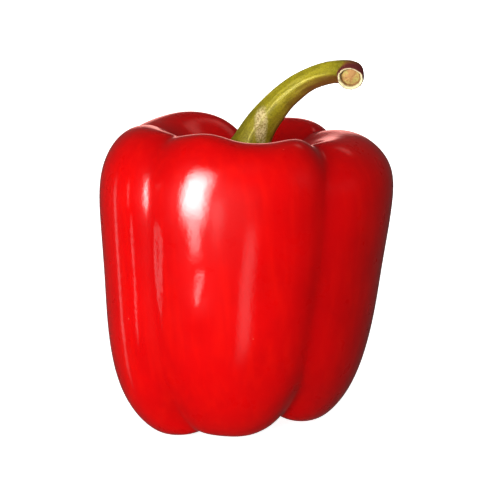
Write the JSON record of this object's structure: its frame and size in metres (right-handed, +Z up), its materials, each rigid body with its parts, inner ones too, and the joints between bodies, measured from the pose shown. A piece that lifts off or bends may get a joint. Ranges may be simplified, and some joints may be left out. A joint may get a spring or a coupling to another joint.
{
  "type": "bell pepper",
  "caption": "Ripe red bell pepper with blunt lobes, a green calyx sunk in the top hollow and a curved cut stem, standing on its lobes.",
  "frame": {"origin": "on the surface that the pepper stands on, under the middle of its bounding box", "axes": "+Z up along the growth axis, towards the stem; -Y towards the front, where the broadest lobe is; +X towards the side that the stem bends to"},
  "size_m": [0.088, 0.0834, 0.1092],
  "materials": {
    "skin": null,
    "calyx": null,
    "stem": null
  },
  "bodies": {
    "root": {"fruit": "skin", "calyx": "calyx", "stem": "stem"}
  },
  "joints": []
}
